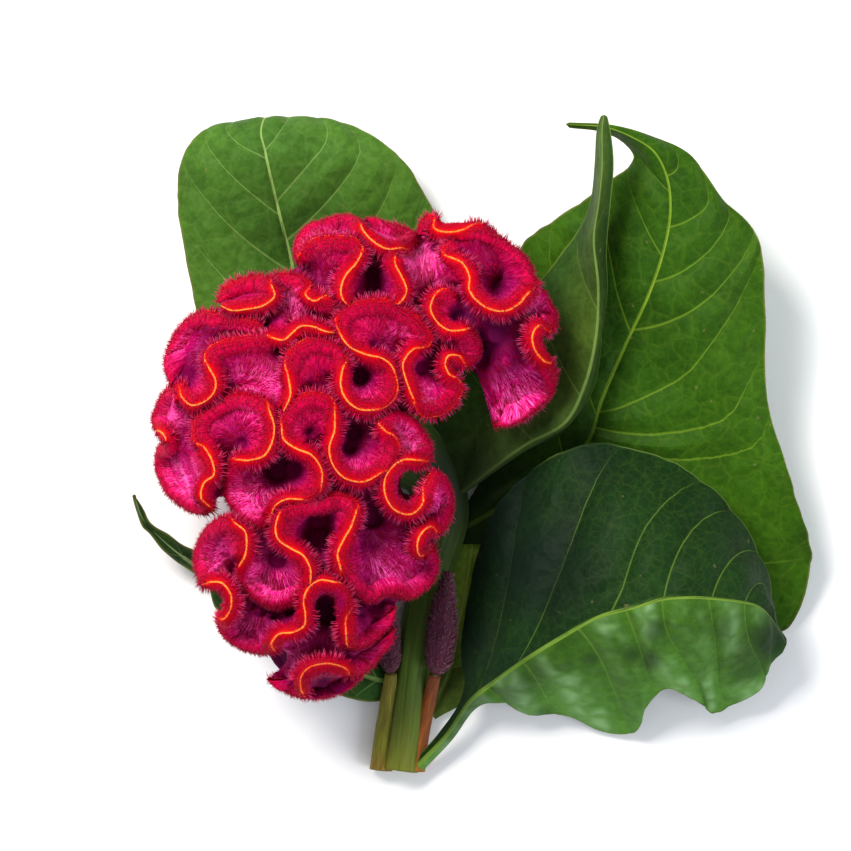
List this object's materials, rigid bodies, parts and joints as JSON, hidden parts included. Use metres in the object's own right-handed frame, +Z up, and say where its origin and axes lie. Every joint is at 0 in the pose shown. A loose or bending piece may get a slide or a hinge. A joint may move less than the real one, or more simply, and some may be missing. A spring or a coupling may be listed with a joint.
{
  "type": "cockscomb celosia",
  "caption": "Cut cockscomb celosia lying on its side: a folded velvet comb with fringed ridges on a fluted stem with broad veined leaves.",
  "frame": {"origin": "centre of the whole flower's box, at the level of the surface that it lies on", "axes": "+Z up from the surface, +Y along the flower from the cut end of the stem towards the comb, +X to the right of that, towards the broad leaves"},
  "size_m": [0.2122, 0.2057, 0.0724],
  "materials": {
    "comb": "velvety",
    "stem": "satin",
    "side_spike_left": "matte",
    "side_spike_right": "matte",
    "leaf_upper_left": "satin",
    "leaf_upper_right": "satin",
    "leaf_lower_right": "satin",
    "leaf_folded": "satin",
    "leaf_left": "satin",
    "leaf_small": "satin",
    "leaf_back": "satin"
  },
  "bodies": {
    "root": {"comb": "comb", "stem": "stem", "side_spike_left": "side_spike_left", "side_spike_right": "side_spike_right", "leaf_upper_left": "leaf_upper_left", "leaf_upper_right": "leaf_upper_right", "leaf_lower_right": "leaf_lower_right", "leaf_folded": "leaf_folded", "leaf_left": "leaf_left", "leaf_small": "leaf_small", "leaf_back": "leaf_back"}
  },
  "joints": []
}
